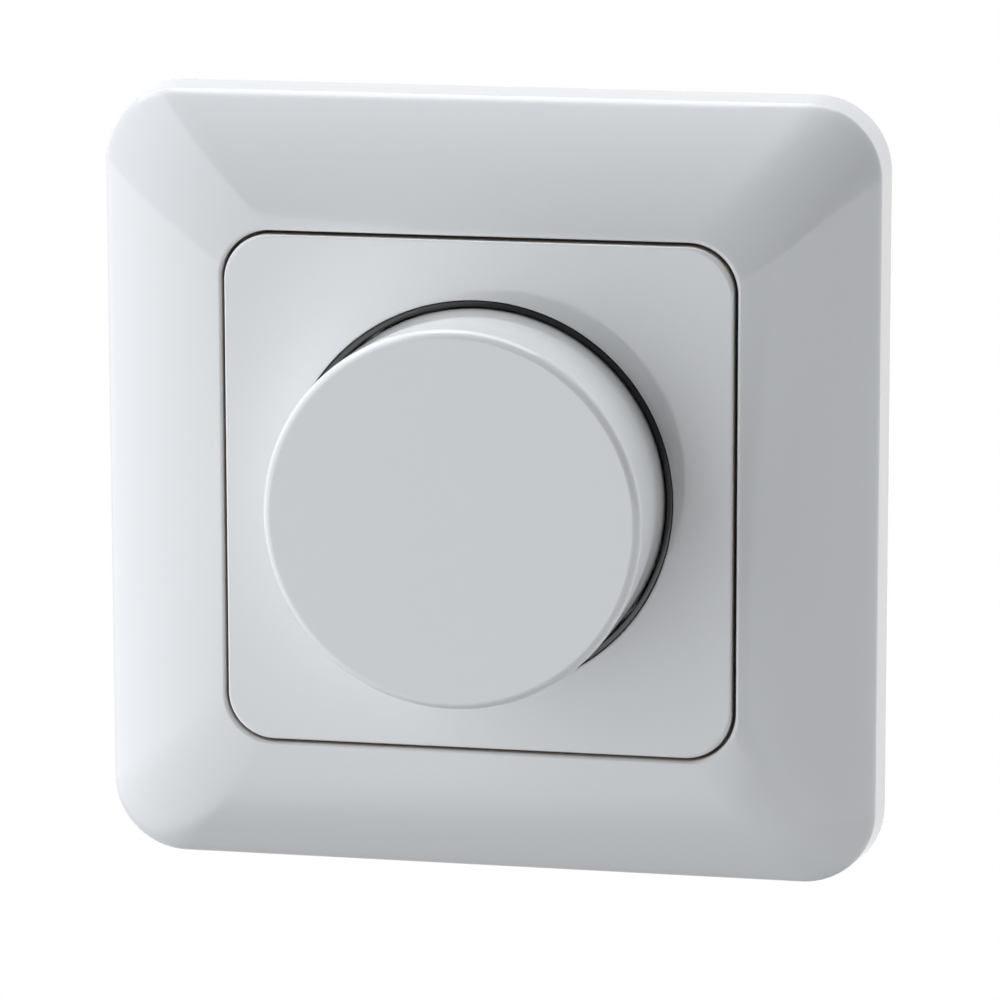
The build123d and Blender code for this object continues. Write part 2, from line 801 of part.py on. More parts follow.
# Transistors on their pads, each held by a screw
pad_back = -heat_sink_thickness - thermal_pad_thickness
tab_middle = transistor_low_end + transistor_tab_length / 2
with BuildPart() as thermal_pads:
    with BuildSketch(at(pad_back)):
        with Locations((-transistor_x, tab_middle), (transistor_x, tab_middle)):
            Rectangle(transistor_width, transistor_tab_length)
        with Locations(transistor_holes):
            Circle(small_screw_diameter / 2 + hole_play, mode=Mode.SUBTRACT)
    extrude(amount=thermal_pad_thickness)
thermal_pads.part.label = "thermal_pads"
export_step(thermal_pads.part, "parts/thermal_pads.step")

tab_back = pad_back - transistor_tab_thickness
leg_height = pad_back - transistor_body_thickness * 0.6
with BuildPart() as transistors:
    with BuildSketch(at(tab_back)):
        with Locations((-transistor_x, tab_middle), (transistor_x, tab_middle)):
            Rectangle(transistor_width, transistor_tab_length)
        with Locations(transistor_holes):
            Circle(small_screw_diameter / 2 + hole_play, mode=Mode.SUBTRACT)
    extrude(amount=transistor_tab_thickness)
    with BuildSketch(at(pad_back)):
        body_middle = transistor_low_end + transistor_body_length / 2
        with Locations((-transistor_x, body_middle), (transistor_x, body_middle)):
            Rectangle(transistor_width, transistor_body_length)
    extrude(amount=-transistor_body_thickness)
    for leg_x, leg_z in transistor_leads:
        with BuildSketch(side_plane(leg_x)):
            with BuildLine():
                leg_end = board_front + lead_thickness / 2
                Polyline((transistor_low_end, leg_height), (leg_z, leg_height), (leg_z, leg_end))
                offset(amount=lead_thickness / 2, kind=Kind.INTERSECTION)
            make_face()
        extrude(amount=lead_width / 2, both=True)
transistors.part.label = "transistors"
export_step(transistors.part, "parts/transistors.step")

with BuildPart() as transistor_screws:
    with BuildSketch(at(tab_back)):
        with Locations(transistor_holes):
            Circle(small_head_diameter / 2)
    extrude(amount=-small_head_height)
    with BuildSketch(at(tab_back)):
        with Locations(transistor_holes):
            Circle(small_screw_diameter / 2)
    extrude(amount=-touch_gap - tab_back)
transistor_screws.part.label = "transistor_screws"
export_step(transistor_screws.part, "parts/transistor_screws.step")

# Circuit board, notched round the bosses
with BuildPart() as circuit_board:
    extrude(case_outline(board_front, housing_wall + moving_gap), amount=-board_thickness)
    with BuildSketch(at(board_front)):
        with Locations((0, board_low)):
            Rectangle(housing_width, housing_width, align=(Align.CENTER, Align.MAX))
        with Locations(boss_places):
            Circle(boss_diameter / 2 + moving_gap)
    extrude(amount=-board_thickness, mode=Mode.SUBTRACT)
circuit_board.part.label = "circuit_board"
export_step(circuit_board.part, "parts/circuit_board.step")

# Boxed film capacitor and round electrolytic capacitor
with BuildPart() as film_capacitor:
    with BuildSketch(at(board_front)):
        with Locations(film_at):
            Rectangle(film_width, film_length)
    extrude(amount=film_height)
film_capacitor.part.label = "film_capacitor"
export_step(film_capacitor.part, "parts/film_capacitor.step")

with BuildPart() as bulk_capacitor:
    with BuildSketch(at(board_front)):
        with Locations(bulk_at):
            Circle(bulk_diameter / 2)
    extrude(amount=bulk_height)
bulk_capacitor.part.label = "bulk_capacitor"
export_step(bulk_capacitor.part, "parts/bulk_capacitor.step")

# Ring choke: core and the winding that is wrapped over it
core_bottom = board_front + winding_thickness
core_middle = (choke_diameter + choke_bore) / 4
core_width = (choke_diameter - choke_bore) / 2
choke_axis = Axis((0, 0, choke_at[1]), (0, 1, 0))
choke_section = Plane(origin=(0, 0, choke_at[1]), x_dir=(1, 0, 0), z_dir=(0, 0, -1))
with BuildPart() as choke_core:
    with BuildSketch(at(core_bottom)):
        with Locations(choke_at):
            Circle(choke_diameter / 2)
            Circle(choke_bore / 2, mode=Mode.SUBTRACT)
    extrude(amount=choke_height)
choke_core.part.label = "choke_core"
export_step(choke_core.part, "parts/choke_core.step")

with BuildPart() as choke_winding:
    with BuildSketch(choke_section):
        with Locations((core_middle, core_bottom + choke_height / 2)):
            Rectangle(core_width + 2 * winding_thickness, choke_height + 2 * winding_thickness)
            Rectangle(core_width, choke_height, mode=Mode.SUBTRACT)
    revolve(axis=choke_axis, revolution_arc=winding_arc)
choke_winding.part.label = "choke_winding"
export_step(choke_winding.part, "parts/choke_winding.step")

# Round fuse, and a varistor disc that stands on edge
with BuildPart() as fuse:
    with BuildSketch(at(board_front)):
        with Locations(fuse_at):
            Circle(fuse_diameter / 2)
    extrude(amount=fuse_height)
fuse.part.label = "fuse"
export_step(fuse.part, "parts/fuse.step")

varistor_height = board_front + varistor_stand + varistor_diameter / 2
with BuildPart() as varistor:
    with BuildSketch(side_plane(varistor_at[0])):
        with Locations((varistor_at[1], varistor_height)):
            Circle(varistor_diameter / 2)
    extrude(amount=varistor_thickness / 2, both=True)
    with BuildSketch(at(board_front)):
        with Locations(varistor_leads):
            Rectangle(lead_width, lead_thickness)
    extrude(amount=varistor_height - board_front)
varistor.part.label = "varistor"
export_step(varistor.part, "parts/varistor.step")

# Control chip behind the board, on two rows of pins
with BuildPart() as control_chip:
    with BuildSketch(at(board_back - touch_gap)):
        with Locations((0, chip_place)):
            Rectangle(chip_width, chip_length)
    extrude(amount=-chip_height)
    with BuildSketch(at(board_back)):
        with Locations((0, chip_place)):
            with GridLocations(chip_pin_pitch, chip_length + chip_pin_reach, chip_pin_count, 2):
                Rectangle(pin_thickness, chip_pin_reach)
    extrude(amount=-chip_height / 2)
control_chip.part.label = "control_chip"
export_step(control_chip.part, "parts/control_chip.step")

# Trimmer for the lowest brightness, reached with a screwdriver through plate and heat sink
trimmer_front = board_front + trimmer_height
pocket_floor = trimmer_front - trimmer_pocket_depth
with BuildPart() as trimmer_body:
    with BuildSketch(at(board_front)):
        with Locations(trimmer_at):
            Rectangle(trimmer_width, trimmer_width)
    extrude(amount=trimmer_height)
    with BuildSketch(at(pocket_floor)):
        with Locations(trimmer_at):
            Circle(trimmer_rotor_diameter / 2 + hole_play)
    extrude(amount=trimmer_pocket_depth, mode=Mode.SUBTRACT)
trimmer_body.part.label = "trimmer_body"
export_step(trimmer_body.part, "parts/trimmer_body.step")

with BuildPart() as trimmer_rotor:
    with BuildSketch(at(pocket_floor + touch_gap)):
        with Locations(trimmer_at):
            Circle(trimmer_rotor_diameter / 2)
    extrude(amount=trimmer_pocket_depth + trimmer_rotor_height)
    with BuildSketch(at(trimmer_front)):
        with Locations(trimmer_at):
            Rectangle(trimmer_slot, trimmer_rotor_diameter)
    extrude(amount=trimmer_rotor_height + touch_gap, mode=Mode.SUBTRACT)
trimmer_rotor.part.label = "trimmer_rotor"
export_step(trimmer_rotor.part, "parts/trimmer_rotor.step")

# Terminal block: wires enter from behind, screws are turned from below
block_width = pole_count * pole_pitch + block_wall
wire_places = [(x, wire_z) for x in pole_places]
cage_middle = (cage_low + cage_high) / 2
cage_places = [(x, cage_middle) for x in pole_places]
tongue_top = board_low + tongue_overlap
with BuildPart() as terminal_block:
    with BuildSketch(at(block_back)):
        with Locations((0, block_bottom)):
            Rectangle(block_width, block_top - block_bottom, align=(Align.CENTER, Align.MIN))
    extrude(amount=block_depth)
    with BuildSketch(at(block_front)):
        with Locations(cage_places):
            Rectangle(cage_width + 2 * cage_fit, cage_height + 2 * cage_fit)
    extrude(amount=cage_back - cage_fit - block_front, mode=Mode.SUBTRACT)
    with BuildSketch(at(block_front)):
        with Locations([(x, cage_high) for x in pole_places]):
            Rectangle(
                tongue_width + 2 * cage_fit, cage_height, align=(Align.CENTER, Align.MIN)
            )
    extrude(amount=board_front - cage_fit - block_front, mode=Mode.SUBTRACT)
    with BuildSketch(at(block_back)):
        with Locations(wire_places):
            Circle(wire_bore_diameter / 2)
    extrude(amount=wire_bore_length, mode=Mode.SUBTRACT)
    rims = terminal_block.edges().filter_by_position(Axis.Y, -block_back, -block_back)
    chamfer(rims.filter_by(GeomType.CIRCLE), wire_funnel)
    with BuildSketch(Plane.XY.offset(block_bottom)):
        with Locations([(x, -screw_height) for x in pole_places]):
            Circle(terminal_head_diameter / 2 + hole_play)
    extrude(amount=block_wall + cage_fit, mode=Mode.SUBTRACT)
terminal_block.part.label = "terminal_block"
export_step(terminal_block.part, "parts/terminal_block.step")

# Cages with a tongue that is soldered to the board
with BuildPart() as terminal_cages:
    with BuildSketch(at(cage_back)):
        with Locations(cage_places):
            Rectangle(cage_width, cage_height)
            Rectangle(cage_width - 2 * cage_wall, cage_height - 2 * cage_wall, mode=Mode.SUBTRACT)
    extrude(amount=cage_depth)
    with BuildSketch(at(board_front)):
        with Locations([(x, cage_high - cage_wall) for x in pole_places]):
            Rectangle(
                tongue_width, tongue_top - cage_high + cage_wall, align=(Align.CENTER, Align.MIN)
            )
    extrude(amount=tongue_thickness)
    with BuildSketch(Plane.XY.offset(cage_low)):
        with Locations([(x, -screw_height) for x in pole_places]):
            Circle(terminal_screw_diameter / 2 + thread_fit)
    extrude(amount=cage_wall, mode=Mode.SUBTRACT)
terminal_cages.part.label = "terminal_cages"
export_step(terminal_cages.part, "parts/terminal_cages.step")

screw_tip = wire_z - wire_bore_diameter / 2
head_top = cage_low - touch_gap
head_bottom = head_top - terminal_head_height
with BuildPart() as terminal_screws:
    with BuildSketch(Plane.XY.offset(head_bottom)):
        with Locations([(x, -screw_height) for x in pole_places]):
            Circle(terminal_head_diameter / 2)
    extrude(amount=terminal_head_height)
    with BuildSketch(Plane.XY.offset(head_top)):
        with Locations([(x, -screw_height) for x in pole_places]):
            Circle(terminal_screw_diameter / 2)
    extrude(amount=screw_tip - head_top)
    with BuildSketch(Plane.XY.offset(head_bottom)):
        with Locations([(x, -screw_height) for x in pole_places]):
            Rectangle(terminal_screw_slot, terminal_head_diameter)
    extrude(amount=terminal_head_height / 2, mode=Mode.SUBTRACT)
terminal_screws.part.label = "terminal_screws"
export_step(terminal_screws.part, "parts/terminal_screws.step")

# Rear housing: cup with screw bosses, posts under the board and openings for the terminals
post_places = [
    (-board_half + post_diameter, 0),
    (board_half - post_diameter, 0),
    choke_at,
]
with BuildPart() as rear_housing:
    extrude(case_outline(0, 0), amount=-housing_depth)
    fillet(rear_housing.edges().filter_by(Axis.Y), housing_corner)
    rear_rim = rear_housing.edges().filter_by_position(Axis.Y, housing_depth, housing_depth)
    chamfer(rear_rim, housing_edge)
    extrude(case_outline(0, housing_wall), amount=housing_floor, mode=Mode.SUBTRACT)
    with BuildSketch(at(housing_floor)):
        with Locations(boss_places):
            Circle(boss_diameter / 2)
    extrude(amount=-heat_sink_thickness - housing_floor)
    with BuildSketch(at(-heat_sink_thickness)):
        with Locations(boss_places):
            Circle(housing_screw_diameter / 2 + thread_fit)
    extrude(amount=-boss_pilot_length, mode=Mode.SUBTRACT)
    with BuildSketch(at(housing_floor)):
        with Locations(post_places):
            Circle(post_diameter / 2)
    extrude(amount=board_back - housing_floor)
    with BuildSketch(at(block_back)):
        with Locations((0, block_bottom)):
            Rectangle(
                block_width + 2 * cage_fit, block_top - block_bottom + cage_fit,
                align=(Align.CENTER, Align.MIN),
            )
    extrude(amount=housing_wall, mode=Mode.SUBTRACT)
    with BuildSketch(Plane.XY.offset(-housing_half)):
        with Locations([(x, -screw_height) for x in pole_places]):
            Circle(terminal_head_diameter / 2 + hole_play)
    extrude(amount=housing_wall, mode=Mode.SUBTRACT)
rear_housing.part.label = "rear_housing"
export_step(rear_housing.part, "parts/rear_housing.step")

# Screws that hold the housing and the heat sink to the support plate
housing_screw_length = support_thickness + heat_sink_thickness + boss_pilot_length - moving_gap
with BuildPart() as housing_screws:
    with BuildSketch(at(support_thickness)):
        with Locations(boss_places):
            Circle(housing_head_diameter / 2)
    extrude(amount=housing_head_height)
    with BuildSketch(at(support_thickness)):
        with Locations(boss_places):
            Circle(housing_screw_diameter / 2)
    extrude(amount=-housing_screw_length)
housing_screws.part.label = "housing_screws"
export_step(housing_screws.part, "parts/housing_screws.step")
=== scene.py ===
import bmesh
import bpy
import json
import math
from mathutils import Matrix, Quaternion, Vector


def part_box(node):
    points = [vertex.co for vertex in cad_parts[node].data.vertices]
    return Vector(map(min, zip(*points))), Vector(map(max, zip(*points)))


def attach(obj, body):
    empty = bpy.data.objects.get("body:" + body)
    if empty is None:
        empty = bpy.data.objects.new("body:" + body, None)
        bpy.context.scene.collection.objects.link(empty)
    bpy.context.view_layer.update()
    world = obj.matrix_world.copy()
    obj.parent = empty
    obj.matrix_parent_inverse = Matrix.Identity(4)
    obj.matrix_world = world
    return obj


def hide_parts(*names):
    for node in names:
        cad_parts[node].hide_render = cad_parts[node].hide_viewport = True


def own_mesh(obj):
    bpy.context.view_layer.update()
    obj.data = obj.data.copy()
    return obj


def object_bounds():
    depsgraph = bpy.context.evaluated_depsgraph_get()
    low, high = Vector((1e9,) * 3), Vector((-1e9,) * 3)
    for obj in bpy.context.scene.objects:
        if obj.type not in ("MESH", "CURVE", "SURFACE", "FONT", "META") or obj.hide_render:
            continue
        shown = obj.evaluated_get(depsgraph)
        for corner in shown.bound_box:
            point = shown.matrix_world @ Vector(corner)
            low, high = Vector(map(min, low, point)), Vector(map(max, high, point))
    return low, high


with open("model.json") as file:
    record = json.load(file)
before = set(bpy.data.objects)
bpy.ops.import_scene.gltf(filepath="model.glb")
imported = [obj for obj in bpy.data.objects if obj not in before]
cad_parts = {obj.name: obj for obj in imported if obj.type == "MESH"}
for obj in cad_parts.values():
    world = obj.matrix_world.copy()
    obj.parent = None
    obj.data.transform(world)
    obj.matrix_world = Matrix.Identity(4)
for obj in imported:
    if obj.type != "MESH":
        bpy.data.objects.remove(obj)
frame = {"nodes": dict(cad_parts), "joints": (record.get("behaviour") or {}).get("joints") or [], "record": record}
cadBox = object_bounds()
nodes = frame["nodes"]
mm = 0.001
print("frame loaded with", len(nodes), "nodes")


class Wire:  # one output socket, so that shader maths reads as plain Python
    def __init__(self, paint, socket):
        self.paint = paint
        self.socket = socket

    def maths(self, operation, first, second):
        return self.paint.node("ShaderNodeMath", {"operation": operation}, {0: first, 1: second})

    def __add__(self, other):
        return self.maths("ADD", self, other)

    def __radd__(self, other):
        return self.maths("ADD", other, self)

    def __sub__(self, other):
        return self.maths("SUBTRACT", self, other)

    def __rsub__(self, other):
        return self.maths("SUBTRACT", other, self)

    def __mul__(self, other):
        return self.maths("MULTIPLY", self, other)

    def __rmul__(self, other):
        return self.maths("MULTIPLY", other, self)


class Paint:  # a node tree under construction
    def __init__(self, tree):
        self.tree = tree
        tree.nodes.clear()

    def node(self, kind, settings=None, inputs=None, out=0):
        made = self.tree.nodes.new(kind)
        for key, value in (settings or {}).items():
            setattr(made, key, value)
        for key, value in (inputs or {}).items():
            if isinstance(value, Wire):
                self.tree.links.new(value.socket, made.inputs[key])
            else:
                made.inputs[key].default_value = value
        return Wire(self, made.outputs[out]) if made.outputs else None

    def mix(self, share, first, second):  # sockets 6 and 7, and output 2, are the ones for colours
        return self.node("ShaderNodeMix", {"data_type": "RGBA"}, {0: share, 6: first, 7: second}, 2)

    def place(self):  # coordinates of the piece itself
        return self.node("ShaderNodeTexCoord", out="Object")

    def along(self, axis, vector):
        return self.node("ShaderNodeSeparateXYZ", {}, {"Vector": vector}, axis)

    def noise(self, place, scale, detail):
        return self.node("ShaderNodeTexNoise", {}, {"Vector": place, "Scale": scale, "Detail": detail})

    def bump(self, strength, depth, height):
        return self.node("ShaderNodeBump", {}, {"Strength": strength, "Distance": depth, "Height": height})

    def rise(self, value, low, high):  # 0 up to low, 1 from high on, smooth between them
        return self.node("ShaderNodeMapRange", {"interpolation_type": "SMOOTHSTEP"}, {
            "Value": value, "From Min": low, "From Max": high})


def rgba(red, green, blue):
    return (red, green, blue, 1.0)


def darker(colour, share):
    return rgba(*[part * (1 - share) for part in colour])


def newMaterial(name):
    material = bpy.data.materials.new(name)
    material.use_nodes = True
    return material, Paint(material.node_tree)


def finishMaterial(paint, settings):
    shader = paint.node("ShaderNodeBsdfPrincipled", {}, settings)
    paint.node("ShaderNodeOutputMaterial", {}, {"Surface": shader})


# what all plastics and all metals share
grain = {
    "driftDetail": 2.0, "skinDetail": 3.0, "lineScale": 900.0, "lineDetail": 4.0, "patchRough": 0.06,
    "depth": 0.1 * mm,
}


# moulded plastics: slight drift of tone, uneven gloss and a fine skin
def plasticMaterial(name, look):
    material, paint = newMaterial(name)
    place = paint.place()
    drift = paint.noise(place, look["driftScale"], grain["driftDetail"])
    skin = paint.noise(place, look["skinScale"], grain["skinDetail"])
    finishMaterial(paint, {
        "Base Color": paint.mix(drift, darker(look["colour"], look["drift"]), rgba(*look["colour"])),
        "Roughness": look["rough"] + (drift - 0.5) * look["roughDrift"],
        "Normal": paint.bump(look["bump"], grain["depth"], skin),
        "IOR": look["ior"],
    })
    return material


# plated, turned and sheet metals: tone patches and fine lines along one way
def metalMaterial(name, look):
    material, paint = newMaterial(name)
    place = paint.place()
    drawn = paint.node("ShaderNodeMapping", {}, {"Vector": place, "Scale": look["lines"]})
    lines = paint.noise(drawn, grain["lineScale"], grain["lineDetail"])
    patch = paint.node("ShaderNodeTexVoronoi", {}, {"Vector": place, "Scale": look["patchScale"]}, "Color")
    grey = paint.node("ShaderNodeRGBToBW", {}, {"Color": patch})
    rough = look["rough"] + (lines - 0.5) * look["roughDrift"] + (grey - 0.5) * grain["patchRough"]
    finishMaterial(paint, {
        "Base Color": paint.mix(grey, darker(look["colour"], look["patch"]), rgba(*look["colour"])),
        "Roughness": rough,
        "Normal": paint.bump(look["bump"], grain["depth"], lines),
        "Metallic": 1.0,
    })
    return material


# insulated copper wire laid side by side round the choke
def windingMaterial(name, look):
    material, paint = newMaterial(name)
    turns = paint.node("ShaderNodeTexWave", {"wave_type": "BANDS"}, {
        "Vector": paint.place(), "Scale": look["turnScale"]})
    finishMaterial(paint, {
        "Base Color": paint.mix(turns, rgba(*look["gap"]), rgba(*look["colour"])),
        "Roughness": look["rough"],
        "Normal": paint.bump(look["bump"], look["groove"] * mm, turns),
        "Metallic": look["metallic"],
    })
    return material


# white walls of the gap round the plate, with painted shade that darkens them with the depth (mm) behind the
# frame's front
def paintedGapShadeMaterial(name, look, front):
    material, paint = newMaterial(name)
    height = paint.along("Y", paint.place())
    low, high = [(depth - front) * mm for depth in look["fade"]]
    colour = paint.mix(paint.rise(height, low, high), rgba(*look["edge"]), rgba(*look["deepShade"]))
    finishMaterial(paint, {"Base Color": colour, "Roughness": look["rough"]})
    return material


finishes = {
    "white_plastic": (plasticMaterial, {
        "colour": (0.83, 0.835, 0.835), "drift": 0.012, "driftScale": 40.0, "skinScale": 1800.0,
        "rough": 0.05, "roughDrift": 0.02, "bump": 0.006, "ior": 1.5}),
    "black_trim": (plasticMaterial, {
        "colour": (0.012, 0.012, 0.013), "drift": 0.2, "driftScale": 60.0, "skinScale": 2500.0,
        "rough": 0.14, "roughDrift": 0.05, "bump": 0.01, "ior": 1.5}),
    "case_plastic": (plasticMaterial, {
        "colour": (0.05, 0.051, 0.054), "drift": 0.18, "driftScale": 90.0, "skinScale": 2600.0,
        "rough": 0.5, "roughDrift": 0.1, "bump": 0.35, "ior": 1.48}),
    "terminal_plastic": (plasticMaterial, {
        "colour": (0.32, 0.33, 0.34), "drift": 0.1, "driftScale": 120.0, "skinScale": 2600.0,
        "rough": 0.45, "roughDrift": 0.1, "bump": 0.25, "ior": 1.48}),
    "inner_plastic": (plasticMaterial, {
        "colour": (0.07, 0.07, 0.075), "drift": 0.15, "driftScale": 120.0, "skinScale": 2600.0,
        "rough": 0.5, "roughDrift": 0.1, "bump": 0.25, "ior": 1.48}),
    "pale_plastic": (plasticMaterial, {
        "colour": (0.62, 0.6, 0.55), "drift": 0.06, "driftScale": 120.0, "skinScale": 2600.0,
        "rough": 0.45, "roughDrift": 0.1, "bump": 0.2, "ior": 1.48}),
    "board_laminate": (plasticMaterial, {
        "colour": (0.03, 0.16, 0.07), "drift": 0.25, "driftScale": 700.0, "skinScale": 1500.0,
        "rough": 0.35, "roughDrift": 0.15, "bump": 0.2, "ior": 1.5}),
    "track_laminate": (plasticMaterial, {
        "colour": (0.3, 0.19, 0.09), "drift": 0.25, "driftScale": 900.0, "skinScale": 1500.0,
        "rough": 0.6, "roughDrift": 0.1, "bump": 0.3, "ior": 1.5}),
    "carbon_film": (plasticMaterial, {
        "colour": (0.02, 0.02, 0.02), "drift": 0.3, "driftScale": 900.0, "skinScale": 3000.0,
        "rough": 0.55, "roughDrift": 0.1, "bump": 0.3, "ior": 1.5}),
    "pad_silicone": (plasticMaterial, {
        "colour": (0.35, 0.36, 0.4), "drift": 0.1, "driftScale": 300.0, "skinScale": 2600.0,
        "rough": 0.7, "roughDrift": 0.1, "bump": 0.3, "ior": 1.42}),
    "black_epoxy": (plasticMaterial, {
        "colour": (0.02, 0.02, 0.022), "drift": 0.2, "driftScale": 500.0, "skinScale": 3500.0,
        "rough": 0.55, "roughDrift": 0.1, "bump": 0.4, "ior": 1.5}),
    "film_resin": (plasticMaterial, {
        "colour": (0.6, 0.42, 0.03), "drift": 0.1, "driftScale": 300.0, "skinScale": 2500.0,
        "rough": 0.4, "roughDrift": 0.1, "bump": 0.2, "ior": 1.5}),
    "bulk_sleeve": (plasticMaterial, {
        "colour": (0.015, 0.02, 0.05), "drift": 0.2, "driftScale": 300.0, "skinScale": 1500.0,
        "rough": 0.35, "roughDrift": 0.1, "bump": 0.2, "ior": 1.5}),
    "ferrite": (plasticMaterial, {
        "colour": (0.05, 0.05, 0.052), "drift": 0.3, "driftScale": 1200.0, "skinScale": 3000.0,
        "rough": 0.6, "roughDrift": 0.1, "bump": 0.4, "ior": 1.8}),
    "fuse_resin": (plasticMaterial, {
        "colour": (0.12, 0.05, 0.03), "drift": 0.15, "driftScale": 300.0, "skinScale": 2500.0,
        "rough": 0.4, "roughDrift": 0.1, "bump": 0.2, "ior": 1.5}),
    "varistor_resin": (plasticMaterial, {
        "colour": (0.03, 0.1, 0.3), "drift": 0.15, "driftScale": 300.0, "skinScale": 1200.0,
        "rough": 0.35, "roughDrift": 0.1, "bump": 0.3, "ior": 1.5}),
    "zinc_steel": (metalMaterial, {
        "colour": (0.62, 0.63, 0.65), "patch": 0.14, "patchScale": 450.0, "lines": (1.0, 1.0, 0.2),
        "rough": 0.34, "roughDrift": 0.15, "bump": 0.1}),
    "spring_steel": (metalMaterial, {
        "colour": (0.5, 0.5, 0.5), "patch": 0.1, "patchScale": 900.0, "lines": (1.0, 1.0, 0.1),
        "rough": 0.3, "roughDrift": 0.15, "bump": 0.1}),
    "bush_brass": (metalMaterial, {
        "colour": (0.7, 0.52, 0.24), "patch": 0.12, "patchScale": 700.0, "lines": (0.1, 1.0, 0.1),
        "rough": 0.3, "roughDrift": 0.15, "bump": 0.15}),
    "contact_alloy": (metalMaterial, {
        "colour": (0.72, 0.6, 0.38), "patch": 0.12, "patchScale": 900.0, "lines": (1.0, 0.1, 1.0),
        "rough": 0.32, "roughDrift": 0.15, "bump": 0.1}),
    "shaft_aluminium": (metalMaterial, {
        "colour": (0.72, 0.72, 0.73), "patch": 0.06, "patchScale": 900.0, "lines": (0.1, 1.0, 0.1),
        "rough": 0.3, "roughDrift": 0.15, "bump": 0.15}),
    "sink_aluminium": (metalMaterial, {
        "colour": (0.68, 0.69, 0.7), "patch": 0.08, "patchScale": 600.0, "lines": (0.1, 1.0, 1.0),
        "rough": 0.36, "roughDrift": 0.15, "bump": 0.15}),
    "enamelled_wire": (windingMaterial, {
        "colour": (0.5, 0.17, 0.05), "gap": (0.12, 0.03, 0.01), "turnScale": 500.0,
        "rough": 0.3, "metallic": 0.6, "bump": 0.6, "groove": 0.2}),
}
materials = {slot: make(slot, look) for slot, (make, look) in finishes.items()}
for part in frame["record"]["subparts"]:
    slots = nodes[part["node"]].data.materials
    slots.clear()
    slots.append(materials[part["material_slot"]])
print("materials made:", len(materials))


# edges of the pieces behind the plate, softened a little as moulding and punching leave them (mm, degrees)
softEdges = {
    "widths": {"rear_housing": 0.3, "support_plate": 0.12}, "steps": 3, "overAngle": 35, "weld": 0.001,
}


def softenEdges(piece, width, look):
    weld = piece.modifiers.new("weld", "WELD")
    weld.merge_threshold = look["weld"] * mm
    bevel = piece.modifiers.new("softEdge", "BEVEL")
    bevel.width = width * mm
    bevel.segments = look["steps"]
    bevel.limit_method = "ANGLE"
    bevel.angle_limit = math.radians(look["overAngle"])
    piece.modifiers.new("weightedNormals", "WEIGHTED_NORMAL")


for node, width in softEdges["widths"].items():
    softenEdges(nodes[node], width, softEdges)
print("edges softened on", len(softEdges["widths"]), "pieces")


# a square outline with rounded corners, at a height in front of the wall;
# a corner as large as half the width makes a circle
def squareLoop(half, height, corner, steps):
    flat = half - corner
    loop = []
    for quarter in range(4):
        middle = Vector(((1, -1, -1, 1)[quarter] * flat, (1, 1, -1, -1)[quarter] * flat))
        for step in range(steps + 1):
            turn = math.radians(90 * (quarter + step / steps))
            loop.append((middle.x + corner * math.cos(turn), -height, middle.y + corner * math.sin(turn)))
    return loop


# rounds the corners of a section; each of its points is half width, height, corner radius
# and how far its rounding reaches
def softPath(points, steps=8):
    path = []
    for index, point in enumerate(points):
        here, cut = Vector(point[:3]), point[3]
        if cut == 0:
            path.append(here)
            continue
        ways = [Vector(points[near % len(points)][:3]) - here for near in (index - 1, index + 1)]
        ways = [way / way.xy.length for way in ways]
        weight = math.sin(ways[0].xy.angle(ways[1].xy) / 2)
        for step in range(steps + 1):
            t = step / steps
            shares = ((1 - t) ** 2, 2 * t * (1 - t) * weight, t * t)
            bent = (here + ways[0] * cut) * shares[0] + here * shares[1] + (here + ways[1] * cut) * shares[2]
            path.append(bent / sum(shares))
    return path


def joinRows(mesh, first, second):
    for i in range(len(first)):
        j = (i + 1) % len(first)
        mesh.faces.new((first[i], first[j], second[j], second[i]))


def sweepInto(mesh, path, steps, closed=True):
    rows = [[mesh.verts.new(Vector(p) * mm) for p in squareLoop(*point, steps)] for point in path]
    following = rows[1:] + rows[:1] if closed else rows[1:]
    for first, second in zip(rows, following):
        joinRows(mesh, first, second)


# a flat outline of (reach, height) points, made into a web of some thickness
# and turned about the knob's axis
def webInto(mesh, outline, thickness, aside, turn):
    rows = []
    for edge in (-thickness / 2, thickness / 2):
        row = []
        for reach, height in outline:
            flat = Vector((aside + edge, reach))
            flat.rotate(Matrix.Rotation(turn, 2))
            row.append(mesh.verts.new(Vector((flat.x, -height, flat.y)) * mm))
        rows.append(row)
    mesh.faces.new(rows[0])
    mesh.faces.new(list(reversed(rows[1])))
    for i in range(len(outline)):
        j = (i + 1) % len(outline)
        mesh.faces.new((rows[0][j], rows[0][i], rows[1][i], rows[1][j]))


def ribOutline(inside, outside, top, foot):
    return [(inside, top), (outside, top), (outside, foot), (inside, foot)]


meshing = {"joined": 1e-7, "dropped": 1e-8, "sharpAngle": 32}  # distances in metres, angle in degrees


def addPiece(name, mesh, node, body, slot, shadeMask=None):
    bmesh.ops.remove_doubles(mesh, verts=mesh.verts, dist=meshing["joined"])
    bmesh.ops.dissolve_degenerate(mesh, dist=meshing["dropped"], edges=mesh.edges)
    bmesh.ops.recalc_face_normals(mesh, faces=mesh.faces)
    sharp = math.radians(meshing["sharpAngle"])
    for face in mesh.faces:
        face.smooth = True
        # faces that the mask picks get the second slot, the painted shade of the gap
        face.material_index = 1 if shadeMask and shadeMask(face.calc_center_median() / mm) else 0
    for edge in mesh.edges:
        edge.smooth = len(edge.link_faces) == 2 and edge.calc_face_angle() < sharp
    data = bpy.data.meshes.new(name)
    mesh.to_mesh(data)
    mesh.free()
    piece = bpy.data.objects.new(name, data)
    bpy.context.scene.collection.objects.link(piece)
    data.materials.append(materials[slot])
    # the second slot holds the painted shade of the gap
    if shadeMask:
        data.materials.append(paintedGapShade)
    weighted = piece.modifiers.new("weightedNormals", "WEIGHTED_NORMAL")
    weighted.keep_sharp = True
    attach(piece, body)
    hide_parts(node)
    print("piece made:", name, len(data.polygons), "faces")
    return piece


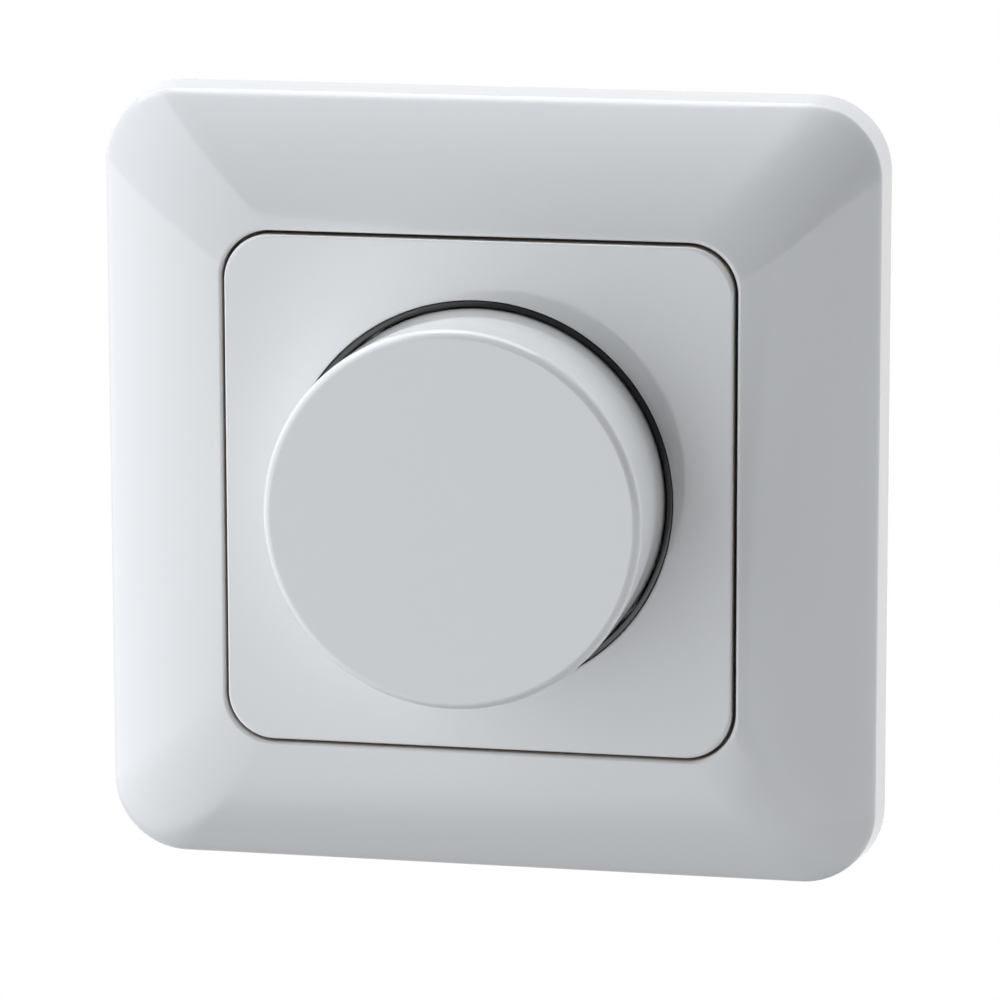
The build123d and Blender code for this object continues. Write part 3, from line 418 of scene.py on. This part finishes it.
# sizes of the white front and the ring, in mm
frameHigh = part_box("cover_frame")[1]
plateLow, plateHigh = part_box("centre_plate")
knobLow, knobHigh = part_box("knob")
ringLow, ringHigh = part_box("trim_ring")
coverFrame = {
    "half": frameHigh.x / mm, "corner": 8.0, "lean": 0.4, "rimHeight": 5.0, "front": 11.0, "slope": 8.0,
    "wall": 2.0, "collarWall": 1.6, "collarRound": 0.2, "ledge": 1.5, "ledgeTop": 7.5, "gap": 0.4,
    "rimBlend": (1.0, 0.35), "openingRound": 0.36, "backRound": 0.25,
    "seamDepth": 0.4, "seamFoot": 0.1, "seamSlack": 0.05, "ribAside": 14.0, "ribThickness": 1.2,
    "cornerSteps": 40, "crownSteps": 32, "rimSteps": 12, "cavitySteps": 12,
}
centrePlate = {
    "half": plateHigh.x / mm, "front": -plateLow.y / mm, "foot": -plateHigh.y / mm, "corner": 5.0,
    "thickness": 2.0, "edge": 0.25, "skirtWall": 1.5, "skirtBottom": 7.5, "skirtRound": 0.15,
    "seat": 0.4, "seatFit": 0.05, "wellEdge": 0.1, "wellWall": 1.5, "wellRound": 0.2, "web": 1.5,
    "bushHole": 5.15, "seamDepth": 0.45, "seamReach": 1.0, "seamCorner": 0.5,
    "ribThickness": 1.2, "ribOverlap": 0.5, "steps": 56,
}
# painted shade for the gap walls: a brownish white at the front of the gap, fading to a dark brown deep in it
paintedGapShadeLook = {"fade": (0.3, 1.5), "edge": (0.85, 0.785, 0.74), "deepShade": (0.5, 0.4, 0.34), "rough": 0.4}
paintedGapShade = paintedGapShadeMaterial("paintedGapShade", paintedGapShadeLook, coverFrame["front"])


def makeCoverFrame(look, plate):
    front, wall = look["front"], look["wall"]
    rimHalf = look["half"] - look["lean"]
    opening = plate["half"] + look["gap"]
    openingCorner = plate["corner"] + look["gap"]
    rise, run = front - look["rimHeight"], rimHalf - opening
    start = math.radians(look["slope"])
    halfTurn = math.atan2(rise, run) - start
    radius = math.hypot(rise, run) / (2 * math.sin(halfTurn))
    axisX = opening - radius * math.sin(start)
    axisHeight = front - radius * math.cos(start)

    def crownPoint(arcRadius, turn):
        return axisX + arcRadius * math.sin(turn), axisHeight + arcRadius * math.cos(turn)

    def crownHeight(arcRadius, half):
        return axisHeight + math.sqrt(arcRadius**2 - (half - axisX) ** 2)

    def cornerAt(half, inset):  # the corner radius grows from the opening to the rim
        share = (half + inset - opening) / run
        return openingCorner + share * (look["corner"] - openingCorner) - inset

    def arc(arcRadius, fromHalf, toHalf, inset, steps):
        first = math.asin((fromHalf - axisX) / arcRadius)
        last = math.asin((toHalf - axisX) / arcRadius)
        points = []
        for step in range(1, steps):
            half, height = crownPoint(arcRadius, first + (last - first) * step / steps)
            points.append((half, height, cornerAt(half, inset), 0))
        return points

    inner = radius - wall
    cavity, collar = rimHalf - wall, opening + look["collarWall"]
    cavityCorner = cornerAt(cavity, wall)
    ledgeHalf = plate["half"] - plate["skirtWall"]
    ledgeCorner = plate["corner"] - plate["skirtWall"]
    ledgeBottom = look["ledgeTop"] - look["ledge"]
    # the crown rolls over into the band along a curve that tightens towards the wall
    inset, drop = look["rimBlend"]
    lean = look["lean"] / look["rimHeight"]
    turn = math.asin((rimHalf - inset - axisX) / radius)
    crownEnd = Vector(crownPoint(radius, turn))
    ahead = (look["half"] - lean * crownEnd.y - crownEnd.x) / (math.cos(turn) - lean * math.sin(turn))
    corner = crownEnd + Vector((math.cos(turn), -math.sin(turn))) * ahead
    bandEnd = Vector((look["half"] - lean * (look["rimHeight"] - drop), look["rimHeight"] - drop))
    section = [(look["half"], 0, look["corner"], look["backRound"])]
    for step in range(look["rimSteps"] + 1):
        t = step / look["rimSteps"]
        bent = bandEnd * (1 - t) ** 2 + corner * 2 * t * (1 - t) + crownEnd * t**2
        section.append((bent.x, bent.y, cornerAt(min(bent.x, rimHalf), 0), 0))
    section += arc(radius, crownEnd.x, opening, 0, look["crownSteps"])
    section += [
        (opening, front, openingCorner, look["openingRound"]),
        (opening, front - look["seamDepth"], openingCorner, 0),
        (opening, look["ledgeTop"], openingCorner, 0),
        (ledgeHalf, look["ledgeTop"], ledgeCorner, 0),
        (ledgeHalf, ledgeBottom, ledgeCorner, 0),
        (collar, ledgeBottom, openingCorner + look["collarWall"], look["collarRound"]),
        (collar, crownHeight(inner, collar), cornerAt(collar, wall), 0),
    ]
    section += arc(inner, collar, cavity, wall, look["cavitySteps"])
    section += [
        (cavity, crownHeight(inner, cavity), cavityCorner, 0),
        (cavity, 0, cavityCorner, look["backRound"]),
    ]
    mesh = bmesh.new()
    sweepInto(mesh, softPath(section), look["cornerSteps"])
    # ribs between the collar and the outer wall, let in to the middle of each wall
    reaches = [collar - look["collarWall"] / 2, (collar + cavity) / 2, cavity + wall / 2]
    tops = [(reach, crownHeight(radius - wall / 2, reach)) for reach in reaches]
    outline = tops + [(tops[2][0], tops[2][1] - wall), (tops[0][0], ledgeBottom)]
    for quarter in range(4):
        for side in (-1, 1):
            webInto(mesh, outline, look["ribThickness"], side * look["ribAside"], math.radians(90 * quarter))

    # the frame's walls in the gap, behind the front, which get painted shade
    def inPaintedShade(spot):
        inside = max(abs(spot.x), abs(spot.z)) < opening + look["seamSlack"]
        return inside and ledgeBottom + look["seamFoot"] < -spot.y < front - look["seamDepth"]

    return addPiece("coverFrame", mesh, "cover_frame", "base", "white_plastic", inPaintedShade)


def makeCentrePlate(look, ringOuter, ringBottom):
    half, corner, front, foot = look["half"], look["corner"], look["front"], look["foot"]
    inner, innerCorner = half - look["skirtWall"], corner - look["skirtWall"]
    skirtBottom, back = look["skirtBottom"], front - look["thickness"]
    seat = ringOuter + look["seatFit"]
    well = seat - look["seat"]
    cup = well + look["wellWall"]
    floor, hole = foot + look["web"], look["bushHole"]
    section = [
        (half, front, corner, look["edge"]), (half, front - look["seamDepth"], corner, 0),
        (half, skirtBottom, corner, look["skirtRound"]), (inner, skirtBottom, innerCorner, 0),
        (inner, back, innerCorner, 0), (cup, back, cup, 0), (cup, foot, cup, look["wellRound"]),
        (hole, foot, hole, 0), (hole, floor, hole, 0), (well, floor, well, 0),
        (well, ringBottom, well, 0), (seat, ringBottom, seat, 0), (seat, front, seat, look["wellEdge"]),
    ]
    mesh = bmesh.new()
    sweepInto(mesh, softPath(section), look["steps"])
    # ribs from the well to the corners of the skirt
    overlap = look["ribOverlap"]
    reach = inner * math.sqrt(2) - innerCorner * (math.sqrt(2) - 1) + look["skirtWall"] / 2
    outline = ribOutline(cup - overlap, reach, back + overlap, skirtBottom)
    for quarter in range(4):
        webInto(mesh, outline, look["ribThickness"], 0, math.radians(45 + 90 * quarter))

    # the plate's outer walls in the gap, behind the front, which get painted shade
    def inPaintedShade(spot):
        across, up = abs(spot.x), abs(spot.z)
        edge = max(across, up, across + up - half + corner * look["seamCorner"])
        return edge > half - look["seamReach"] and -spot.y < front - look["seamDepth"]

    return addPiece("centrePlate", mesh, "centre_plate", "base", "white_plastic", inPaintedShade)


trimRing = {
    "outer": ringHigh.x / mm, "width": 0.7, "bottom": -ringHigh.y / mm, "top": -ringLow.y / mm,
    "edge": 0.14, "steps": 64,
}


def makeTrimRing(look):
    outer, inner = look["outer"], look["outer"] - look["width"]
    section = [
        (outer, look["bottom"], outer, 0), (outer, look["top"], outer, look["edge"]),
        (inner, look["top"], inner, look["edge"]), (inner, look["bottom"], inner, 0),
    ]
    mesh = bmesh.new()
    sweepInto(mesh, softPath(section), look["steps"])
    return addPiece("trimRing", mesh, "trim_ring", "base", "black_trim")


knob = {
    "radius": knobHigh.x / mm, "front": -knobLow.y / mm, "bottom": -knobHigh.y / mm, "edge": 0.95,
    "wall": 1.8, "top": 2.0, "footRound": 0.2, "hub": 5.0, "hubBottom": 10.6, "hubRound": 0.2,
    "bore": 3.05, "boreEnd": 1.3, "ribs": 6, "ribThickness": 1.2, "ribBottom": 12.1, "ribOverlap": 0.4,
    "steps": 64,
}


def makeKnob(look):
    front, bottom, radius, hub, bore = [look[key] for key in ("front", "bottom", "radius", "hub", "bore")]
    inner, under = radius - look["wall"], front - look["top"]
    boreEnd = under - look["boreEnd"]
    section = [
        (0, front, 0, 0), (radius, front, radius, look["edge"]),
        (radius, bottom, radius, look["footRound"]), (inner, bottom, inner, look["footRound"]),
        (inner, under, inner, 0), (hub, under, hub, 0), (hub, look["hubBottom"], hub, look["hubRound"]),
        (bore, look["hubBottom"], bore, look["hubRound"]), (bore, boreEnd, bore, 0), (0, boreEnd, 0, 0),
    ]
    mesh = bmesh.new()
    sweepInto(mesh, softPath(section), look["steps"], closed=False)
    overlap = look["ribOverlap"]
    outline = ribOutline(hub - overlap, inner + overlap, under + overlap, look["ribBottom"])
    for rib in range(look["ribs"]):
        webInto(mesh, outline, look["ribThickness"], 0, math.radians(360 * rib / look["ribs"]))
    return addPiece("knobCap", mesh, "knob", "knob", "white_plastic")


switchSpring = {"wire": 0.5, "turns": 3, "turnSteps": 48, "sides": 12, "joint": "plunger_push"}


# a coil of round wire between the plunger and the back of the switch;
# how far it would shorten as the plunger comes in is worked out but not applied
def makeSwitchSpring(look):
    low, high = [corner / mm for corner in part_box("switch_spring")]
    thick = look["wire"] / 2
    radius, rise = high.x - thick, high.y - low.y - look["wire"]
    along, count = Vector((0, 1, 0)), look["turns"] * look["turnSteps"]
    angles = [2 * math.pi * side / look["sides"] for side in range(look["sides"])]
    mesh = bmesh.new()
    rings = []
    for step in range(count + 1):
        turn = 2 * math.pi * step / look["turnSteps"]
        outward = Vector((math.cos(turn), 0, math.sin(turn)))
        middle = outward * radius + along * (low.y + thick + rise * step / count)
        rim = [middle + (outward * math.cos(a) + along * math.sin(a)) * thick for a in angles]
        rings.append([mesh.verts.new(point * mm) for point in rim])
    for first, second in zip(rings, rings[1:]):
        joinRows(mesh, first, second)
    mesh.faces.new(rings[0])
    mesh.faces.new(rings[-1])
    piece = addPiece("switchSpring", mesh, "switch_spring", "base", "spring_steel")
    joint = next(entry for entry in frame["joints"] if entry["name"] == look["joint"])
    travel, length = joint["range_m"][1] / mm, high.y - low.y
    (length - travel) / length
    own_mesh(piece)


makeCoverFrame(coverFrame, centrePlate)
makeCentrePlate(centrePlate, trimRing["outer"], trimRing["bottom"])
makeTrimRing(trimRing)
makeKnob(knob)
makeSwitchSpring(switchSpring)

# a pale floor well below the object in an unlit room (metres); both are white to the camera,
# and mirrored surfaces see white behind the object and on the floor away from it
stage = {
    "floorDrop": 4.0, "floorSize": 40.0, "floorColour": (0.5, 0.5, 0.5), "ambient": 0.0,
    "behind": (0.0, 0.3), "shaded": (0.7, 3.7),
}
white = rgba(1, 1, 1)


def seenShare(paint, glossyShare):
    rays = ("Is Camera Ray", "Is Glossy Ray", "Is Transmission Ray")
    direct, glossy, through = [paint.node("ShaderNodeLightPath", out=ray) for ray in rays]
    seen = direct.maths("MAXIMUM", direct, through)
    return seen.maths("MAXIMUM", seen, glossy * glossyShare)


def makeFloor(look):
    data = bpy.data.meshes.new("floor")
    reach, level = look["floorSize"], cadBox[0].z - look["floorDrop"]
    corners = [(x * reach, y * reach, level) for x, y in ((-1, -1), (1, -1), (1, 1), (-1, 1))]
    data.from_pydata(corners, [], [(0, 1, 2, 3)])
    floor = bpy.data.objects.new("floor", data)
    bpy.context.scene.collection.objects.link(floor)
    material, paint = newMaterial("floorWhite")
    flat = paint.node("ShaderNodeVectorMath", {"operation": "MULTIPLY"}, {0: paint.place(), 1: (1, 1, 0)})
    away = paint.node("ShaderNodeVectorMath", {"operation": "LENGTH"}, {0: flat}, "Value")
    share = seenShare(paint, paint.rise(away, *look["shaded"]))
    plain = paint.node("ShaderNodeBsdfDiffuse", {}, {"Color": rgba(*look["floorColour"])})
    bright = paint.node("ShaderNodeEmission", {}, {"Color": white, "Strength": 1.0})
    shown = paint.node("ShaderNodeMixShader", {}, {0: share, 1: plain, 2: bright})
    paint.node("ShaderNodeOutputMaterial", {}, {"Surface": shown})
    data.materials.append(material)


def makeWorld(look):
    world = bpy.data.worlds.new("studio")
    bpy.context.scene.world = world
    world.use_nodes = True
    paint = Paint(world.node_tree)
    depth = paint.along("Y", paint.node("ShaderNodeTexCoord", out="Generated"))
    share = seenShare(paint, paint.rise(depth, *look["behind"]))
    plain = paint.node("ShaderNodeBackground", {}, {"Color": white, "Strength": look["ambient"]})
    bright = paint.node("ShaderNodeBackground", {}, {"Color": white, "Strength": 1.0})
    shown = paint.node("ShaderNodeMixShader", {}, {0: share, 1: plain, 2: bright})
    paint.node("ShaderNodeOutputWorld", {}, {"Surface": shown})


# soft boxes: aim is the bearing from the front towards the right, the height angle and the distance;
# fade is the share of the width and of the length over which the left and the lower end fade out
lampDefaults = {
    "size": (1.0, 1.0), "roll": 0, "shift": (0, 0), "fade": None, "mirrored": True,
    "tint": (0.937, 0.963, 1.0),
}
lamps = {
    "leftPanel": {
        "aim": (-52, 5, 1.35), "power": 73, "size": (3.2, 4.9), "roll": 40, "shift": (-0.65, -0.85),
        "fade": (0.3, 0.3)},
    "topLeft": {"aim": (-95, 62, 1.3), "power": 7.0},
    "topBack": {"aim": (180, 81, 1.3), "power": 10.6},
    "rightBox": {"aim": (108, -8, 1.3), "power": 12.5, "size": (1.0, 0.6), "mirrored": False},
    "rightCard": {"aim": (43, -16, 1.35), "power": 1.7, "size": (1.3, 0.8), "roll": 28},
}


def makeLamp(name, look):
    light = bpy.data.lights.new(name, "AREA")
    light.shape = "RECTANGLE"
    light.size, light.size_y = look["size"]
    light.energy = look["power"]
    light.color = look["tint"]
    if look["fade"]:
        light.use_nodes = True
        paint = Paint(light.node_tree)
        spot = paint.node("ShaderNodeNewGeometry", out="Parametric")
        across, up = [paint.rise(paint.along(axis, spot), 0.0, end) for axis, end in zip("XY", look["fade"])]
        glow = paint.node("ShaderNodeEmission", {}, {"Color": white, "Strength": across * up})
        paint.node("ShaderNodeOutputLight", {}, {"Surface": glow})
    bearing, height = [math.radians(angle) for angle in look["aim"][:2]]
    level = math.cos(height)
    way = Vector((math.sin(bearing) * level, -math.cos(bearing) * level, math.sin(height)))
    turn = (-way).to_track_quat("-Z", "Y") @ Quaternion((0, 0, 1), math.radians(look["roll"]))
    lamp = bpy.data.objects.new(name, light)
    lamp.location = way * look["aim"][2] + turn @ Vector(look["shift"]).to_3d()
    lamp.rotation_euler = turn.to_euler()
    lamp.visible_glossy = look["mirrored"]
    bpy.context.scene.collection.objects.link(lamp)


makeFloor(stage)
makeWorld(stage)
for name, look in lamps.items():
    makeLamp(name, lampDefaults | look)
print("stage and lamps made")

cameraLook = {
    "at": (0.128581, -0.60981, 0.122817), "turn": (78.6268, 0.1123, 11.872), "lens": 211.6, "sensor": 36.0,
}
camera = bpy.data.objects.new("camera", bpy.data.cameras.new("camera"))
camera.data.sensor_width = cameraLook["sensor"]
camera.data.lens = cameraLook["lens"]
camera.location = cameraLook["at"]
camera.rotation_euler = [math.radians(angle) for angle in cameraLook["turn"]]
bpy.context.scene.collection.objects.link(camera)
bpy.context.scene.camera = camera
bpy.context.scene.view_settings.view_transform = "Standard"
print("camera placed")
